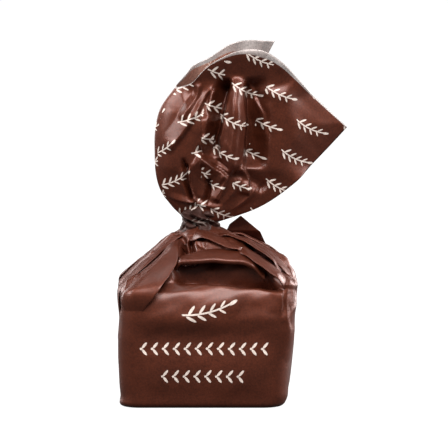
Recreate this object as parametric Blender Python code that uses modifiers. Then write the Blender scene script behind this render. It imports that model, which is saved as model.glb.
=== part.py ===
# A chocolate truffle in a twist wrapper, standing on its flat base.
# The pack is shut, so it is one solid: block, gathered shoulder, twisted neck, open fan and flap.
# The printed front faces -Y and the corner of the fan points to +X.
# Sizes are in millimetres, and each mesh is scaled to metres when it is made.

import math

import bpy
import numpy as np

MM = 0.001
PART_NAME = "wrapped_truffle"

# The block: its outline at the base and at the brow, where the shoulder begins
BASE_OUTLINE = {"left": -14.1, "right": 13.3, "front": -13.6, "back": 13.6}
BROW_OUTLINE = {"left": -14.4, "right": 15.1, "front": -14.0, "back": 14.0}
BROW_HEIGHT = 19.4
CORNER_RADIUS = 2.9
BASE_ROUND = 0.9
# The share of each side's points that goes round half of one corner
CORNER_SHARE = 0.16
# How the block widens with height: below 1 it widens most near the base
WIDEN_CURVE = 0.6
# How the shoulder rises towards the neck, in eight directions from the middle of the back
# over the left side: below 1 it is full, near 1 it is a straight slope
SHOULDER_CURVES = [0.60, 1.0, 1.0, 1.0, 0.66, 0.60, 0.52, 0.56]

# The neck, where the film is twisted tight
NECK_X = -0.6
NECK_RADIUS = 2.9
NECK_LOW = 29.4
NECK_TWIST = 70.0
# The last rings of the neck, inside the fan's root: how far up, and the share of the radius
NECK_RINGS = [(1.0, 0.94), (1.5, 0.92), (2.3, 0.60)]

# The fan above the neck, a sheet that runs over the front, round the left fold and along the back
FILM_THICKNESS = 0.5
FAN_START = 29.8
FAN_ROOT_RADIUS = 2.2
# Where round the neck the free corner's path starts, and how far round the paths spread
FAN_ROOT_TURN = -20.0
FAN_ROOT_SPREAD = 320.0
# Gathers above the neck and waves along the back layer: how many, and how high
FAN_GATHERS = {"count": 9.0, "height": 0.35}
FAN_WAVES = {"count": 6.0, "height": 0.5}

# The front view looks down a little: fold lines are given in it, across and up, in millimetres
VIEW_TILT = math.radians(6.0)

# How many degrees to either side a side's folds reach: where they end, and where they are whole
FRONT_REACH = (88.0, 62.0)
SIDE_REACH = (62.0, 40.0)

# How far across the free edge of an overlapping fold drops
STEP_EDGE = 0.6

# Edges that turn more than this stay sharp in the shading
SHARP_ANGLE = math.radians(40.0)

# Counts of points round and up each surface
BLOCK_ROUND = 88
BLOCK_SIDE_ROWS = 5
SHOULDER_ROWS = 20
FAN_ACROSS = 58
FAN_UP = 18


def smooth_step(low, high, value):
    share = np.clip((value - low) / (high - low), 0.0, 1.0)
    return share * share * (3.0 - 2.0 * share)


def in_front_view(points):
    # The place of each point in the tilted front view
    x, y, z = points[..., 0], points[..., 1], points[..., 2]
    return np.stack([x, z * math.cos(VIEW_TILT) + y * math.sin(VIEW_TILT)], axis=-1)


def from_front_view(across, up, y):
    # The point at depth y that is seen at this place of the tilted front view
    return np.array([across, y, (up - y * math.sin(VIEW_TILT)) / math.cos(VIEW_TILT)])


def fold_height(places, line, width, height, kind="ridge"):
    # How far one fold lifts the film at each place of the view.
    # A ridge rises to its line from both sides. A step drops on the right of its line.
    line = np.asarray(line, dtype=float)
    best = np.full(places.shape[:-1], 1e9)
    signed = np.zeros(places.shape[:-1])
    along = np.zeros(places.shape[:-1])
    lengths = np.linalg.norm(np.diff(line, axis=0), axis=1)
    starts = np.concatenate([[0.0], np.cumsum(lengths)])
    for index, length in enumerate(lengths):
        direction = (line[index + 1] - line[index]) / length
        offset = places - line[index]
        run = np.clip(offset @ direction, 0.0, length)
        gap = offset - run[..., None] * direction
        distance = np.linalg.norm(gap, axis=-1)
        side = np.sign(direction[0] * offset[..., 1] - direction[1] * offset[..., 0])
        nearer = distance < best
        best = np.where(nearer, distance, best)
        signed = np.where(nearer, distance * side, signed)
        along = np.where(nearer, (starts[index] + run) / starts[-1], along)
    ends = smooth_step(0.0, 0.18, along) * smooth_step(1.0, 0.82, along)
    if kind == "ridge":
        profile = np.clip(1.0 - best / width, 0.0, 1.0)
    elif kind == "soft":
        profile = np.exp(-((best / width) ** 2))
    else:
        ramp = np.clip(1.0 - signed / width, 0.0, 1.0)
        edge = smooth_step(-STEP_EDGE, 0.0, signed)
        profile = ramp * edge
    return height * profile * ends


# Folds of the shoulder, each in the front view: kind, width, height, and its line
SHOULDER_FOLDS = [
    # the flat pleat at the left corner, with its free edge over the front
    ("step", 5.0, 0.9, [(-11.2, 13.4), (-3.3, 23.1), (-3.1, 27.5)]),
    ("ridge", 1.4, 0.4, [(-14.2, 17.0), (-10.4, 20.6), (-6.4, 24.8), (-3.9, 28.2)]),
    # the hollow under the neck
    ("soft", 0.9, -0.9, [(-2.3, 23.0), (-2.4, 27.0)]),
    # the rolled fold over the front, and the deep valley under it
    ("ridge", 1.4, 1.2, [(-2.6, 24.2), (0.6, 23.9), (3.2, 23.6), (7.0, 22.8), (9.8, 21.4)]),
    ("soft", 1.2, -1.0, [(-4.0, 21.4), (1.0, 21.9), (6.0, 21.3), (13.4, 20.2)]),
    ("ridge", 1.2, 0.8, [(-2.0, 28.0), (1.6, 26.9), (4.2, 25.6), (6.6, 24.9)]),
    # the long pleats down to the right corner
    ("ridge", 1.4, 1.0, [(5.0, 26.2), (8.8, 23.4), (11.5, 21.3), (14.4, 18.4)]),
    ("soft", 1.0, -0.6, [(7.0, 26.0), (10.5, 24.2), (14.8, 21.6)]),
    ("ridge", 1.2, 0.7, [(2.4, 28.6), (6.6, 27.0), (10.4, 25.3), (13.8, 22.8)]),
    # the dented corner at the right end of the brow
    ("soft", 1.1, -0.8, [(11.0, 20.4), (13.0, 16.0)]),
    # the hollow where the film sinks between the brow and the filling's edge
    ("soft", 1.4, -0.4, [(-10.5, 12.3), (14.5, 12.0)]),
]

# Folds of the other three sides of the shoulder, across and up on each side
SIDE_FOLDS = [
    ("ridge", 1.3, 0.8, [(-13.0, 17.8), (-7.6, 22.8), (-2.8, 28.4)]),
    ("soft", 1.2, -0.8, [(-9.5, 19.0), (-4.5, 23.8), (-1.6, 28.2)]),
    ("ridge", 1.1, 0.7, [(-3.6, 18.0), (-1.8, 23.4), (-0.6, 28.2)]),
    ("soft", 1.3, -0.8, [(1.2, 19.0), (0.8, 24.0), (0.2, 28.2)]),
    ("ridge", 1.2, 0.7, [(7.2, 18.2), (4.2, 23.6), (1.2, 28.2)]),
    ("soft", 1.0, -0.7, [(10.5, 19.4), (6.0, 24.2), (2.2, 28.2)]),
    ("soft", 1.4, -0.3, [(-10.0, 12.6), (10.0, 12.2)]),
]

# The fan's paths from the neck to the rim, from the free corner over the front,
# round the left fold and along the back: three points on the way and one on the rim,
# each across and up in the front view, with its depth
FAN_PATHS = [
    [(8.9, 32.2, -1.2), (14.5, 35.6, -1.6), (19.4, 40.5, -1.2), (24.3, 45.3, -0.8)],
    [(6.9, 34.3, -1.9), (10.8, 39.8, -2.2), (14.8, 46.2, -1.9), (17.7, 51.9, -1.3)],
    [(5.1, 35.9, -2.4), (7.8, 42.3, -2.9), (10.8, 49.4, -2.6), (13.3, 56.1, -1.8)],
    [(3.4, 36.6, -2.6), (5.4, 43.7, -3.4), (7.8, 51.4, -3.0), (9.4, 58.6, -2.1)],
    [(1.3, 37.0, -2.6), (2.7, 44.0, -3.4), (4.4, 51.4, -3.0), (5.7, 58.6, -2.1)],
    [(-1.0, 36.5, -2.4), (-0.7, 43.2, -3.1), (0.3, 49.9, -2.8), (1.3, 56.4, -1.9)],
    [(-3.5, 35.6, -1.9), (-4.4, 42.0, -2.4), (-3.5, 48.2, -2.1), (-2.0, 54.3, -1.3)],
    [(-6.8, 34.8, -0.3), (-8.1, 42.0, 0.0), (-7.4, 48.3, 0.1), (-3.4, 53.6, 0.3)],
    [(-4.4, 36.1, 1.1), (-5.4, 42.3, 1.7), (-4.4, 49.1, 1.8), (-2.2, 55.7, 1.7)],
    [(-2.4, 36.8, 1.8), (-2.0, 43.7, 2.4), (-1.2, 50.8, 2.5), (0.2, 57.3, 2.2)],
    [(0.0, 37.3, 2.0), (1.3, 44.5, 2.7), (2.7, 52.1, 2.8), (4.0, 59.1, 2.5)],
    [(1.3, 37.6, 2.0), (3.7, 45.4, 2.7), (5.9, 53.1, 2.8), (7.8, 60.1, 2.5)],
    [(2.7, 38.3, 1.8), (5.7, 46.1, 2.5), (9.1, 54.5, 2.7), (11.8, 59.9, 2.4)],
]

# Folds of the fan's front layer
FAN_FOLDS = [
    # the deep valley, the lit column beside it and the shallow valley on its right
    ("ridge", 1.4, -1.2, [(3.4, 54.0), (2.7, 47.9), (1.7, 44.5), (1.9, 41.0)]),
    ("ridge", 1.8, 1.0, [(5.0, 55.0), (4.9, 46.2), (4.0, 37.5)]),
    ("soft", 1.3, -0.7, [(7.4, 54.0), (7.8, 46.2), (7.1, 38.0)]),
    ("ridge", 1.2, 0.4, [(8.2, 54.0), (9.6, 49.4), (9.8, 44.0)]),
    # the overlapping edge and the creases to its left
    ("step", 2.2, 0.9, [(-0.2, 38.5), (-0.2, 46.5)]),
    ("ridge", 1.3, 0.6, [(-1.2, 49.0), (-5.9, 41.2)]),
    ("ridge", 1.2, 0.6, [(0.4, 53.0), (0.5, 45.6)]),
    # the diagonal folds low on the front
    ("soft", 0.9, -0.8, [(-1.2, 41.5), (5.0, 36.9)]),
    ("soft", 0.9, -0.7, [(-3.0, 40.0), (-1.8, 32.6)]),
    ("soft", 1.0, -0.6, [(4.6, 38.2), (10.3, 34.6)]),
    # the front layer curls in under its rim
    ("soft", 1.2, -0.6, [(-1.5, 54.6), (4.5, 56.0), (10.5, 55.0)]),
]

# The loose corner of film behind the right shoulder, in the front view, and its depth
FLAP_OUTLINE = [
    (2.9, 27.2), (4.4, 29.4), (6.2, 30.7), (9.5, 28.0), (10.4, 26.0), (8.6, 23.6), (5.0, 24.6),
]
FLAP_DEPTH = 1.8
FLAP_LEAN = 0.25
FLAP_THICKNESS = 0.6


def rounded_outline(share, outline, radius):
    # The point at each share of the way round a rounded rectangle, from the middle of the back
    # over the left side, the front and the right side
    turns = share % 1.0
    side = np.floor(turns * 4.0 + 0.5).astype(int) % 4
    part = (turns * 4.0 + 0.5) % 1.0
    centre_x = (outline["left"] + outline["right"]) / 2.0
    centre_y = (outline["front"] + outline["back"]) / 2.0
    half_x = (outline["right"] - outline["left"]) / 2.0
    half_y = (outline["back"] - outline["front"]) / 2.0
    straight = np.clip((part - CORNER_SHARE) / (1.0 - 2.0 * CORNER_SHARE), 0.0, 1.0)
    turn_in = np.clip(1.0 - part / CORNER_SHARE, 0.0, 1.0)
    turn_out = np.clip((part - 1.0 + CORNER_SHARE) / CORNER_SHARE, 0.0, 1.0)
    angle = (turn_out - turn_in) * math.pi / 4.0
    half = np.where(side % 2 == 0, half_x, half_y)
    other = np.where(side % 2 == 0, half_y, half_x)
    along = (straight * 2.0 - 1.0) * (half - radius) + radius * np.sin(angle)
    out = other - radius + radius * np.cos(angle)
    x = np.select([side == 0, side == 1, side == 2], [-along, -out, along], out)
    y = np.select([side == 0, side == 1, side == 2], [out, -along, -out], along)
    return np.stack([centre_x + x, centre_y + y], axis=-1)


def outline_at(height):
    share = min(max(height / BROW_HEIGHT, 0.0), 1.0) ** WIDEN_CURVE
    return {name: BASE_OUTLINE[name] + (BROW_OUTLINE[name] - BASE_OUTLINE[name]) * share
            for name in BASE_OUTLINE}


def block_rows():
    # The rings of the block, from the base to the top of the neck
    share = np.arange(BLOCK_ROUND) / BLOCK_ROUND
    rows = []
    for step in range(3):
        turn = step / 2.0 * math.pi / 2.0
        inset = BASE_ROUND * (1.0 - math.sin(turn))
        height = BASE_ROUND * (1.0 - math.cos(turn))
        outline = outline_at(height)
        shrunk = {"left": outline["left"] + inset, "right": outline["right"] - inset,
                  "front": outline["front"] + inset, "back": outline["back"] - inset}
        ring = rounded_outline(share, shrunk, CORNER_RADIUS)
        rows.append(np.column_stack([ring, np.full(BLOCK_ROUND, height)]))
    for step in range(1, BLOCK_SIDE_ROWS + 1):
        height = BASE_ROUND + (BROW_HEIGHT - BASE_ROUND) * step / BLOCK_SIDE_ROWS
        ring = rounded_outline(share, outline_at(height), CORNER_RADIUS)
        rows.append(np.column_stack([ring, np.full(BLOCK_ROUND, height)]))
    brow = rounded_outline(share, BROW_OUTLINE, CORNER_RADIUS)
    curve = np.interp(share * 8.0, range(9), SHOULDER_CURVES + SHOULDER_CURVES[:1])
    for step in range(1, SHOULDER_ROWS + 1):
        climb = step / SHOULDER_ROWS
        turn = 2.0 * math.pi * share + math.pi / 2.0 + math.radians(NECK_TWIST) * climb ** 3
        neck = np.column_stack([NECK_X + NECK_RADIUS * np.cos(turn), NECK_RADIUS * np.sin(turn)])
        ring = brow + (neck - brow) * climb
        height = BROW_HEIGHT + (NECK_LOW - BROW_HEIGHT) * climb ** curve
        rows.append(np.column_stack([ring, height]))
    turn = 2.0 * math.pi * share + math.pi / 2.0 + math.radians(NECK_TWIST)
    for above, part in NECK_RINGS:
        ring = np.column_stack([NECK_X + NECK_RADIUS * part * np.cos(turn),
                                NECK_RADIUS * part * np.sin(turn)])
        rows.append(np.column_stack([ring, np.full(BLOCK_ROUND, NECK_LOW + above)]))
    return np.array(rows)


def grid_normals(grid, closed):
    if closed:
        round_step = np.roll(grid, -1, axis=1) - np.roll(grid, 1, axis=1)
    else:
        round_step = np.gradient(grid, axis=1)
    up_step = np.gradient(grid, axis=0)
    normals = np.cross(round_step, up_step)
    lengths = np.linalg.norm(normals, axis=-1, keepdims=True)
    return normals / np.maximum(lengths, 1e-9)


def folded_block():
    grid = block_rows()
    normals = grid_normals(grid, True)
    x, y, z = grid[..., 0], grid[..., 1], grid[..., 2]
    bearing = np.degrees(np.arctan2(x - NECK_X, -y))
    free = smooth_step(0.5, 4.0, z) * smooth_step(NECK_LOW + 0.4, NECK_LOW - 1.2, z)
    lift = np.zeros(z.shape)
    front = smooth_step(*FRONT_REACH, np.abs(bearing)) * free
    view = in_front_view(grid)
    for kind, width, height, line in SHOULDER_FOLDS:
        lift += fold_height(view, line, width, height, kind) * front
    for quarter in (90.0, 180.0, 270.0):
        turn = math.radians(quarter)
        across = (x - NECK_X) * math.cos(turn) + y * math.sin(turn)
        swing = (bearing - quarter + 180.0) % 360.0 - 180.0
        facing = smooth_step(*SIDE_REACH, np.abs(swing)) * free
        places = np.stack([across, z], axis=-1)
        for kind, width, height, line in SIDE_FOLDS:
            lift += fold_height(places, line, width, height, kind) * facing
    return grid + normals * lift[..., None]


def catmull_rom(points, share):
    # A smooth curve through evenly spaced points, read at each share of its length
    points = np.asarray(points, dtype=float)
    padded = np.concatenate([[2 * points[0] - points[1]], points, [2 * points[-1] - points[-2]]])
    place = np.clip(share, 0.0, 1.0) * (len(points) - 1)
    index = np.minimum(place.astype(int), len(points) - 2)
    part = (place - index)[:, None]
    for _ in range(points.ndim - 2):
        part = part[..., None]
    before, start, end, after = (padded[index + k] for k in range(4))
    return 0.5 * (2 * start + (end - before) * part
                  + (2 * before - 5 * start + 4 * end - after) * part ** 2
                  + (3 * start - before - 3 * end + after) * part ** 3)


def fan_grid():
    paths = []
    last = len(FAN_PATHS) - 1
    for index, path in enumerate(FAN_PATHS):
        turn = math.radians(FAN_ROOT_TURN - FAN_ROOT_SPREAD * index / last)
        root = np.array([NECK_X + FAN_ROOT_RADIUS * math.cos(turn),
                         FAN_ROOT_RADIUS * math.sin(turn), FAN_START])
        points = [root] + [from_front_view(*point) for point in path]
        paths.append(catmull_rom(points, np.linspace(0.0, 1.0, FAN_UP)))
    return np.swapaxes(catmull_rom(np.array(paths), np.linspace(0.0, 1.0, FAN_ACROSS)), 0, 1)


def folded_fan():
    grid = fan_grid()
    normals = -grid_normals(grid, False)
    across = np.linspace(0.0, 1.0, FAN_ACROSS)[None, :]
    up = np.linspace(0.0, 1.0, FAN_UP)[:, None]
    front = smooth_step(0.62, 0.5, across) * smooth_step(0.12, 0.3, up)
    lift = np.zeros(grid.shape[:2])
    view = in_front_view(grid)
    for kind, width, height, line in FAN_FOLDS:
        lift += fold_height(view, line, width, height, kind) * front
    # the gathers fade towards the rim and at the free edge, the waves towards the neck
    gathers = np.sin(2.0 * math.pi * FAN_GATHERS["count"] * across) * smooth_step(0.1, 0.25, up)
    gathers = gathers * smooth_step(0.75, 0.25, up) * smooth_step(0.0, 0.06, across)
    back = smooth_step(0.58, 0.7, across) * smooth_step(1.0, 0.96, across)
    waves = np.sin(2.0 * math.pi * FAN_WAVES["count"] * across) * back * smooth_step(0.2, 0.5, up)
    lift += FAN_GATHERS["height"] * gathers + FAN_WAVES["height"] * waves
    return grid + normals * lift[..., None]


def new_object(name, vertices, faces, collection):
    mesh = bpy.data.meshes.new(name)
    mesh.from_pydata([tuple(point * MM) for point in vertices], [], faces)
    mesh.update()
    mesh.shade_smooth()
    mesh.set_sharp_from_angle(angle=SHARP_ANGLE)
    made = bpy.data.objects.new(name, mesh)
    collection.objects.link(made)
    return made


def add_block(collection):
    grid = folded_block()
    rows, round_count = grid.shape[:2]
    vertices = list(grid.reshape(-1, 3))
    faces = []
    for row in range(rows - 1):
        for column in range(round_count):
            after = (column + 1) % round_count
            faces.append((row * round_count + column, row * round_count + after,
                          (row + 1) * round_count + after, (row + 1) * round_count + column))
    for row in (0, rows - 1):
        centre = len(vertices)
        vertices.append(grid[row].mean(axis=0))
        for column in range(round_count):
            edge = (row * round_count + column, row * round_count + (column + 1) % round_count)
            faces.append((edge[1], edge[0], centre) if row == 0 else (edge[0], edge[1], centre))
    return new_object(PART_NAME, vertices, faces, collection)


def add_fan(collection):
    grid = folded_fan()
    rows, columns = grid.shape[:2]
    faces = []
    for row in range(rows - 1):
        for column in range(columns - 1):
            start = row * columns + column
            faces.append((start, start + 1, start + columns + 1, start + columns))
    fan = new_object("fan", list(grid.reshape(-1, 3)), faces, collection)
    sheet = fan.modifiers.new("sheet", "SOLIDIFY")
    sheet.thickness = FILM_THICKNESS * MM
    sheet.offset = 0.0
    return fan


def add_flap(collection):
    vertices = []
    for across, up in FLAP_OUTLINE:
        vertices.append(from_front_view(across, up, FLAP_DEPTH + FLAP_LEAN * (30.0 - up)))
    flap = new_object("flap", vertices, [tuple(range(len(vertices)))], collection)
    sheet = flap.modifiers.new("sheet", "SOLIDIFY")
    sheet.thickness = FLAP_THICKNESS * MM
    sheet.offset = 0.0
    return flap


def join_solids(body, others):
    # One solid: each other shape is joined to the body by a Boolean union
    for other in others:
        union = body.modifiers.new("join " + other.name, "BOOLEAN")
        union.operation = "UNION"
        union.solver = "EXACT"
        union.object = other
        other.hide_render = True
        other.display_type = "WIRE"


def film_material():
    film = bpy.data.materials.new("brown_film")
    film.use_nodes = True
    shader = film.node_tree.nodes["Principled BSDF"]
    shader.inputs["Base Color"].default_value = (0.090, 0.030, 0.018, 1.0)
    shader.inputs["Roughness"].default_value = 0.35
    shader.inputs["Metallic"].default_value = 0.0
    return film


def main():
    for old in list(bpy.data.objects):
        bpy.data.objects.remove(old, do_unlink=True)
    parts = bpy.data.collections.new("chocolate_truffle")
    joined = bpy.data.collections.new("joined_shapes")
    bpy.context.scene.collection.children.link(parts)
    bpy.context.scene.collection.children.link(joined)
    truffle = add_block(parts)
    join_solids(truffle, [add_fan(joined), add_flap(joined)])
    truffle.data.materials.append(film_material())


main()
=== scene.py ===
import math

import bpy
import numpy as np
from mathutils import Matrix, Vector
from mathutils.bvhtree import BVHTree


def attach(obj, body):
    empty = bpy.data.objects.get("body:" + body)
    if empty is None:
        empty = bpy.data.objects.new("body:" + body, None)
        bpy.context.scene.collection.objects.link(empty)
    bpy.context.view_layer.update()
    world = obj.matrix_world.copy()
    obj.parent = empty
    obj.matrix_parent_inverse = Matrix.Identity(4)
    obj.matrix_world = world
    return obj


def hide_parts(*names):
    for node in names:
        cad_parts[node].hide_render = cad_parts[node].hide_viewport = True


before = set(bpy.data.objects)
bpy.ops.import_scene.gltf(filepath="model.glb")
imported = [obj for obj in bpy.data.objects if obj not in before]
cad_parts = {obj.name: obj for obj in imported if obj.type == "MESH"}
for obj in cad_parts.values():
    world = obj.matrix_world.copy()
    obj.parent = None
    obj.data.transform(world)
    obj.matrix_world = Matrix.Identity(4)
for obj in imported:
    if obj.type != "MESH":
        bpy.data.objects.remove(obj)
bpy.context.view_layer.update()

mm = 0.001

# The front view looks down a little, as the camera does: fold lines are given in it, in mm
frontView = {"tilt": 6.0, "mmPerPixel": 0.1685, "middleX": 204.0, "floorY": 398.0}


def smoothStep(low, high, value):
    share = np.clip((value - low) / (high - low), 0.0, 1.0)
    return share * share * (3.0 - 2.0 * share)


def inFrontView(points):
    # across and up, as the camera sees each point
    tilt = math.radians(frontView["tilt"])
    up = points[..., 2] * math.cos(tilt) + points[..., 1] * math.sin(tilt)
    return np.stack([points[..., 0], up], axis=-1)


def fromFrontView(across, up, y):
    # the point at depth y that is seen at this place
    tilt = math.radians(frontView["tilt"])
    return np.array([across, y, (up - y * math.sin(tilt)) / math.cos(tilt)])


def foldHeight(places, kind, width, height, line, fade=0.15, sharp=0.05):
    # How far one fold lifts the film. A ridge is a bent crease and a soft fold is rounded.
    # A width of two numbers is the reach to the left and to the right of the line,
    # and fade is the share of the line over which each end dies out.
    line = np.asarray(line, dtype=float)
    left, right = width if isinstance(width, tuple) else (width, width)
    best = np.full(places.shape[:-1], 1e9)
    side = np.zeros(places.shape[:-1])
    along = np.zeros(places.shape[:-1])
    lengths = np.linalg.norm(np.diff(line, axis=0), axis=1)
    starts = np.concatenate([[0.0], np.cumsum(lengths)])
    for index, length in enumerate(lengths):
        direction = (line[index + 1] - line[index]) / length
        offset = places - line[index]
        run = np.clip(offset @ direction, 0.0, length)
        distance = np.linalg.norm(offset - run[..., None] * direction, axis=-1)
        nearer = distance < best
        best = np.where(nearer, distance, best)
        turned = direction[0] * offset[..., 1] - direction[1] * offset[..., 0]
        side = np.where(nearer, turned, side)
        along = np.where(nearer, (starts[index] + run) / starts[-1], along)
    ends = smoothStep(0.0, fade, along) * smoothStep(1.0, 1.0 - fade, along)
    reach = np.where(side > 0.0, left, right)
    if kind == "ridge":
        profile = np.clip(1.0 - (np.sqrt(best ** 2 + sharp ** 2) - sharp) / reach, 0.0, 1.0)
    else:
        profile = np.exp(-((best / reach) ** 2))
    return height * profile * ends


def wander(places, amount):
    # Moves places a little, so that fold lines aren't ruler-straight
    x, z = places[..., 0], places[..., 1]
    across = np.sin(0.9 * z + 1.3) + 0.6 * np.sin(1.7 * x + 2.1 * z + 0.4)
    up = np.sin(1.1 * x + 0.7) + 0.6 * np.sin(2.3 * z - 1.2 * x + 2.0)
    return places + amount * np.stack([across, up], axis=-1)


def facets(points, seed, count, bend, tilt, stretch=(1.0, 1.0, 1.0)):
    # Flat facets that meet in creases, as in crumpled film: the highest of many tilted caps,
    # less the highest of as many others, so that half of the creases stand up
    random = np.random.default_rng(seed)
    scaled = points * np.array(stretch)
    flat = scaled.reshape(-1, 3)
    layers = []
    for _ in range(2):
        centres = flat[random.integers(0, len(flat), count)]
        slopes = random.normal(size=(count, 3)) * tilt
        best = np.full(points.shape[:-1], -1e9)
        for centre, slope in zip(centres, slopes):
            offset = scaled - centre
            best = np.maximum(best, offset @ slope - bend * (offset ** 2).sum(-1))
        layers.append(best)
    return layers[0] - layers[1]


def gridNormals(grid, closed):
    if closed:
        roundStep = np.roll(grid, -1, axis=1) - np.roll(grid, 1, axis=1)
    else:
        roundStep = np.gradient(grid, axis=1)
    normals = np.cross(roundStep, np.gradient(grid, axis=0))
    return normals / np.maximum(np.linalg.norm(normals, axis=-1, keepdims=True), 1e-9)


def catmullRom(points, share):
    points = np.asarray(points, dtype=float)
    padded = np.concatenate([[2 * points[0] - points[1]], points, [2 * points[-1] - points[-2]]])
    place = np.clip(share, 0.0, 1.0) * (len(points) - 1)
    index = np.minimum(place.astype(int), len(points) - 2)
    part = (place - index).reshape((-1,) + (1,) * (points.ndim - 1))
    before, start, end, after = (padded[index + k] for k in range(4))
    return 0.5 * (2 * start + (end - before) * part
                  + (2 * before - 5 * start + 4 * end - after) * part ** 2
                  + (3 * start - before - 3 * end + after) * part ** 3)


def meshFromGrid(name, grid, closed, filmPlaces, sector=None, closeLow=False, closeHigh=False, flip=False):
    # A mesh from rows of points. filmPlaces are maps of mm on the flat film, kept as its UV map:
    # each face takes its corners from the map that its sector names.
    rows, columns = grid.shape[:2]
    faceColumns = columns if closed else columns - 1
    row = np.arange(rows - 1)[:, None]
    column = np.arange(faceColumns)[None, :]
    steps = ((0, 0), (0, 1), (1, 1), (1, 0))
    if flip:
        steps = steps[::-1]
    quads = np.stack([(row + up) * columns + (column + over) % columns for up, over in steps], axis=-1)
    faces = [tuple(face) for face in quads.reshape(-1, 4).tolist()]
    chosen = np.zeros((rows - 1, faceColumns), dtype=int) if sector is None else sector
    maps = np.stack(filmPlaces)
    uv = np.stack([maps[chosen, row + up, column + over] for up, over in steps], axis=2).reshape(-1, 2)
    points = [grid.reshape(-1, 3)]
    hub = rows * columns
    for wanted, ringRow, turned in ((closeLow, 0, True), (closeHigh, rows - 1, False)):
        if wanted:
            points.append(grid[ringRow].mean(axis=0, keepdims=True))
            for k in range(columns):
                pair = (ringRow * columns + k, ringRow * columns + (k + 1) % columns)
                faces.append((pair[1], pair[0], hub) if turned else (pair[0], pair[1], hub))
            uv = np.concatenate([uv, np.tile(maps[0, ringRow, 0], (columns * 3, 1))])
            hub += 1
    mesh = bpy.data.meshes.new(name)
    mesh.from_pydata((np.concatenate(points) * mm).tolist(), [], faces)
    mesh.update()
    layer = mesh.uv_layers.new(name="film")
    layer.data.foreach_set("uv", uv.astype(np.float32).ravel())
    mesh.shade_smooth()
    piece = bpy.data.objects.new(name, mesh)
    bpy.context.scene.collection.objects.link(piece)
    return piece


def addAttribute(piece, name, values):
    attribute = piece.data.attributes.new(name, "FLOAT", "POINT")
    full = np.zeros(len(piece.data.vertices), dtype=np.float32)
    flat = np.asarray(values, dtype=np.float32).ravel()
    full[:len(flat)] = flat
    attribute.data.foreach_set("value", full)


def thicken(piece, thickness, insideSlot=0):
    sheet = piece.modifiers.new("sheet", "SOLIDIFY")
    sheet.thickness = thickness * mm
    sheet.offset = -1.0
    sheet.material_offset = insideSlot


# The camera
cameraLook = {"distance": 900.0, "imagePixels": 448.0, "sensor": 36.0, "near": 0.01, "far": 20.0}


def addCamera():
    tilt = math.radians(frontView["tilt"])
    half = cameraLook["imagePixels"] / 2.0
    across = (half - frontView["middleX"]) * frontView["mmPerPixel"]
    up = (frontView["floorY"] - half) * frontView["mmPerPixel"]
    aim = fromFrontView(across, up, 0.0)
    back = np.array([0.0, -math.cos(tilt), math.sin(tilt)])
    data = bpy.data.cameras.new("photoCamera")
    camera = bpy.data.objects.new("photoCamera", data)
    bpy.context.scene.collection.objects.link(camera)
    bpy.context.scene.camera = camera
    data.sensor_width = cameraLook["sensor"]
    data.lens = cameraLook["sensor"] * cameraLook["distance"] / (
        cameraLook["imagePixels"] * frontView["mmPerPixel"])
    data.clip_start = cameraLook["near"]
    data.clip_end = cameraLook["far"]
    camera.location = Vector(((aim + back * cameraLook["distance"]) * mm).tolist())
    camera.rotation_euler = Vector((-back).tolist()).to_track_quat("-Z", "Y").to_euler()


addCamera()
print("camera placed")

# Shader groups
def newGroup(name, inputs, outputs):
    group = bpy.data.node_groups.new(name, "ShaderNodeTree")
    for label, kind, value in inputs:
        socket = group.interface.new_socket(name=label, in_out="INPUT", socket_type="NodeSocket" + kind)
        if value is not None:
            socket.default_value = value
    for label, kind in outputs:
        group.interface.new_socket(name=label, in_out="OUTPUT", socket_type="NodeSocket" + kind)
    return group, group.nodes.new("NodeGroupInput"), group.nodes.new("NodeGroupOutput")


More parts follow.
